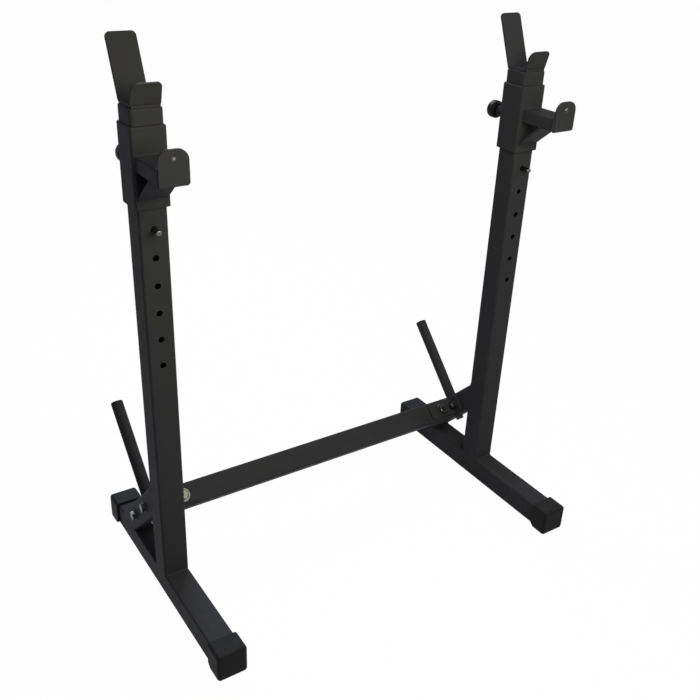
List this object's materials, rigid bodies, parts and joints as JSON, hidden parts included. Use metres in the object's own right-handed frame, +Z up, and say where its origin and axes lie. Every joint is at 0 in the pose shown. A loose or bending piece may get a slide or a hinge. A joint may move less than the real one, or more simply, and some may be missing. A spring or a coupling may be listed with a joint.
{
  "type": "squat stand",
  "caption": "Free-standing squat stand: uprights on booted feet joined by a rear crossbeam, bent bar cradles on top, sliding hook collars with pull pins, and angled plate pegs.",
  "frame": {"origin": "on the floor under the middle of the stand's outline", "axes": "+X along the crossbeam to the right as a lifter facing the stand sees it, +Y from the toes to the heels, +Z up"},
  "size_m": [0.8668, 0.551, 1.0673],
  "materials": {
    "black_paint": "satin black powder coat",
    "boot_rubber": "matte black",
    "black_plastic": "matte black",
    "black_zinc": "black zinc",
    "pin_steel": "smooth dark steel",
    "bare_steel": "turned steel"
  },
  "bodies": {
    "stand_frame": {"foot_tube_left": "black_paint", "foot_tube_right": "black_paint", "toe_boot_left": "boot_rubber", "toe_boot_right": "boot_rubber", "heel_boot_left": "boot_rubber", "heel_boot_right": "boot_rubber", "upright_tube_left": "black_paint", "upright_tube_right": "black_paint", "rear_brace_left": "black_paint", "rear_brace_right": "black_paint", "crossbeam": "black_paint", "beam_bracket_left": "black_paint", "beam_bracket_right": "black_paint", "bracket_bolts": "black_zinc", "bracket_washers": "black_zinc", "bracket_nuts": "black_zinc", "beam_bolts": "black_zinc", "beam_washers": "black_zinc", "beam_nuts": "black_zinc", "plate_peg_left": "black_paint", "plate_peg_right": "black_paint", "peg_thread_plug_left": "bare_steel", "peg_thread_plug_right": "bare_steel", "peg_cap_left": "black_plastic", "peg_cap_right": "black_plastic", "peg_bolts": "black_zinc", "peg_washers": "black_zinc", "cradle_cap_left": "black_paint", "cradle_cap_right": "black_paint", "cradle_saddle_left": "black_paint", "cradle_saddle_right": "black_paint"},
    "carriage_left": {"hook_collar_left": "black_paint", "hook_arm_left": "black_paint", "hook_strut_left": "black_paint", "hook_end_plate_left": "black_paint", "hook_screw_left": "black_zinc", "pull_pin_housing_left": "black_paint", "pull_pin_spring_left": "bare_steel"},
    "puller_left": {"pull_pin_left": "bare_steel", "pull_knob_left": "black_plastic"},
    "stop_left": {"stop_pin_left": "pin_steel"},
    "carriage_right": {"hook_collar_right": "black_paint", "hook_arm_right": "black_paint", "hook_strut_right": "black_paint", "hook_end_plate_right": "black_paint", "hook_screw_right": "black_zinc", "pull_pin_housing_right": "black_paint", "pull_pin_spring_right": "bare_steel"},
    "puller_right": {"pull_pin_right": "bare_steel", "pull_knob_right": "black_plastic"},
    "stop_right": {"stop_pin_right": "pin_steel"}
  },
  "joints": [
    {"name": "hook_collar_slide_left", "type": "slide", "parent": "stand_frame", "child": "carriage_left", "axis": [0, 0, 1], "range_m": [-0.0275, 0]},
    {"name": "pull_pin_slide_left", "type": "slide", "parent": "carriage_left", "child": "puller_left", "axis": [0, 1, 0], "range_m": [0, 0.01], "stiffness_N_per_m": 1500, "springref_m": -0.01, "deforming": ["pull_pin_spring_left"]},
    {"name": "stop_pin_slide_left", "type": "slide", "parent": "stand_frame", "child": "stop_left", "axis": [0, 1, 0], "range_m": [0, 0.075]},
    {"name": "hook_collar_slide_right", "type": "slide", "parent": "stand_frame", "child": "carriage_right", "axis": [0, 0, 1], "range_m": [-0.0275, 0]},
    {"name": "pull_pin_slide_right", "type": "slide", "parent": "carriage_right", "child": "puller_right", "axis": [0, 1, 0], "range_m": [0, 0.01], "stiffness_N_per_m": 1500, "springref_m": -0.01, "deforming": ["pull_pin_spring_right"]},
    {"name": "stop_pin_slide_right", "type": "slide", "parent": "stand_frame", "child": "stop_right", "axis": [0, 1, 0], "range_m": [0, 0.075]}
  ]
}
